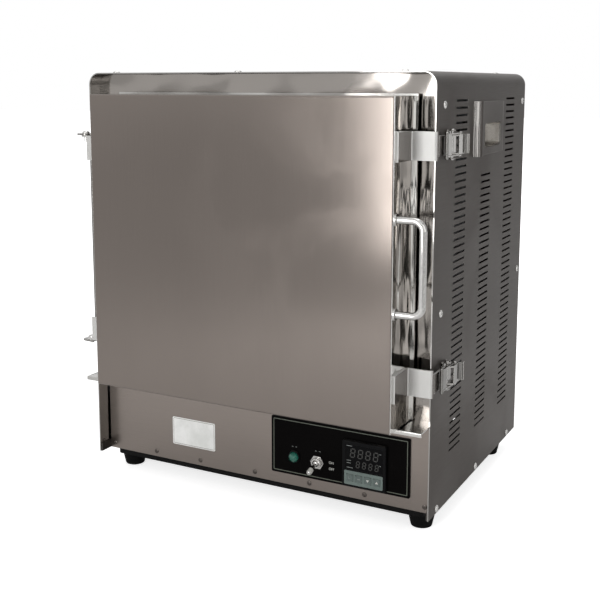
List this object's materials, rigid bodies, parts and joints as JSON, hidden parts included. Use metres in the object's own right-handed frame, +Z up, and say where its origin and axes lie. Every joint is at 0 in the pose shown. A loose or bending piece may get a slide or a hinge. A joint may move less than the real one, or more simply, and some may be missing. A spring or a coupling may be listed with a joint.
{
  "type": "muffle furnace",
  "caption": "Bench-top muffle furnace: stainless cabinet with side vents, plug door on a left-hand hinge, toggle latches, ceramic chamber and a control plate below the sill.",
  "frame": {"origin": "on the floor under the centre of the outer cover", "axes": "+Z up, the door faces -Y, +X to the door's latch side"},
  "size_m": [0.4315, 0.3526, 0.4542],
  "materials": {
    "stainless_brushed": "brushed stainless sheet",
    "stainless_polished": "polished stainless",
    "galvanised": "galvanised sheet",
    "black_paint": "black paint",
    "rubber_black": "matt",
    "plate_paint": "satin grey paint",
    "plastic_black": "fine texture",
    "plastic_window": "dark smoked window",
    "plastic_grey": "satin",
    "lens_green": "glossy green",
    "white_plastic": "satin",
    "plated": "bright plated",
    "refractory": "matt cast refractory",
    "fibre": "matt ceramic fibre",
    "heater_wire": "oxidised alloy wire",
    "copper_brown": "bright"
  },
  "bodies": {
    "cabinet": {"rubber_feet": "rubber_black", "base_plinth": "black_paint", "floor_tray": "galvanised", "outer_cover": "stainless_brushed", "grip_hood_right": "stainless_polished", "grip_hood_left": "stainless_polished", "grip_cup_right": "stainless_polished", "grip_cup_left": "stainless_polished", "upper_panel": "stainless_brushed", "lower_panel": "stainless_brushed", "sill_shelf": "stainless_brushed", "rear_panel": "stainless_brushed", "inner_frame": "galvanised", "inner_casing": "galvanised", "fibre_insulation": "fibre", "muffle": "refractory", "hearth_plate": "refractory", "heating_elements": "heater_wire", "lead_bushes": "refractory", "thermocouple": "heater_wire", "door_gasket": "fibre", "relay_heat_sink": "galvanised", "power_relay": "plastic_black", "terminal_block": "white_plastic", "cable_gland": "plastic_black", "control_plate": "plate_paint", "temperature_controller": "plastic_black", "display_window": "plastic_window", "keypad_plate": "plastic_grey", "pilot_lamp": "lens_green", "lamp_holder": "plastic_black", "toggle_switch": "plated", "switch_nut": "plated", "hinge_bracket": "stainless_polished", "hinge_pins": "plated", "latch_base_upper": "stainless_polished", "latch_base_lower": "stainless_polished", "latch_pivot_pins": "plated", "cover_screws": "plated", "panel_screws": "plated"},
    "door": {"door_shell": "stainless_brushed", "door_back_plate": "stainless_brushed", "door_insulation": "fibre", "door_handle": "plated", "handle_collars": "plated", "latch_strap_upper": "stainless_polished", "latch_strap_lower": "stainless_polished", "hinge_arm_upper": "stainless_polished", "hinge_arm_lower": "stainless_polished"},
    "lever_upper": {"latch_lever_upper": "stainless_polished", "bail_pin_upper": "plated"},
    "bail_upper": {"latch_bail_upper": "stainless_polished"},
    "lever_lower": {"latch_lever_lower": "stainless_polished", "bail_pin_lower": "plated"},
    "bail_lower": {"latch_bail_lower": "stainless_polished"},
    "switch_lever": {"switch_lever": "plated"},
    "key_1": {"controller_key_1": "plastic_grey"},
    "key_2": {"controller_key_2": "plastic_grey"},
    "key_3": {"controller_key_3": "plastic_grey"},
    "key_4": {"controller_key_4": "plastic_grey"}
  },
  "joints": [
    {"name": "door_hinge", "type": "hinge", "parent": "cabinet", "child": "door", "pos_m": [-0.2065, -0.15, 0.2742], "axis": [0, 0, -1], "range_deg": [0, 115]},
    {"name": "latch_upper_lever", "type": "hinge", "parent": "cabinet", "child": "lever_upper", "pos_m": [0.204, -0.117, 0.3844], "axis": [0, 0, -1], "range_deg": [0, 110]},
    {"name": "latch_upper_bail", "type": "hinge", "parent": "lever_upper", "child": "bail_upper", "pos_m": [0.2075, -0.105, 0.3844], "axis": [0, 0, -1], "range_deg": [-143, 0]},
    {"name": "latch_lower_lever", "type": "hinge", "parent": "cabinet", "child": "lever_lower", "pos_m": [0.204, -0.117, 0.1604], "axis": [0, 0, -1], "range_deg": [0, 110]},
    {"name": "latch_lower_bail", "type": "hinge", "parent": "lever_lower", "child": "bail_lower", "pos_m": [0.2075, -0.105, 0.1604], "axis": [0, 0, -1], "range_deg": [-143, 0]},
    {"name": "switch_toggle", "type": "hinge", "parent": "cabinet", "child": "switch_lever", "pos_m": [0.0729, -0.13805, 0.0541], "axis": [-1, 0, 0], "range_deg": [0, 28]},
    {"name": "key_1_press", "type": "slide", "parent": "cabinet", "child": "key_1", "axis": [0, 1, 0], "range_m": [0, 0.0005], "stiffness_N_per_m": 400},
    {"name": "key_2_press", "type": "slide", "parent": "cabinet", "child": "key_2", "axis": [0, 1, 0], "range_m": [0, 0.0005], "stiffness_N_per_m": 400},
    {"name": "key_3_press", "type": "slide", "parent": "cabinet", "child": "key_3", "axis": [0, 1, 0], "range_m": [0, 0.0005], "stiffness_N_per_m": 400},
    {"name": "key_4_press", "type": "slide", "parent": "cabinet", "child": "key_4", "axis": [0, 1, 0], "range_m": [0, 0.0005], "stiffness_N_per_m": 400}
  ],
  "couplings": [
    {"joint": "latch_upper_bail", "follows": "latch_upper_lever", "ratio": -1.3},
    {"joint": "latch_lower_bail", "follows": "latch_lower_lever", "ratio": -1.3}
  ]
}
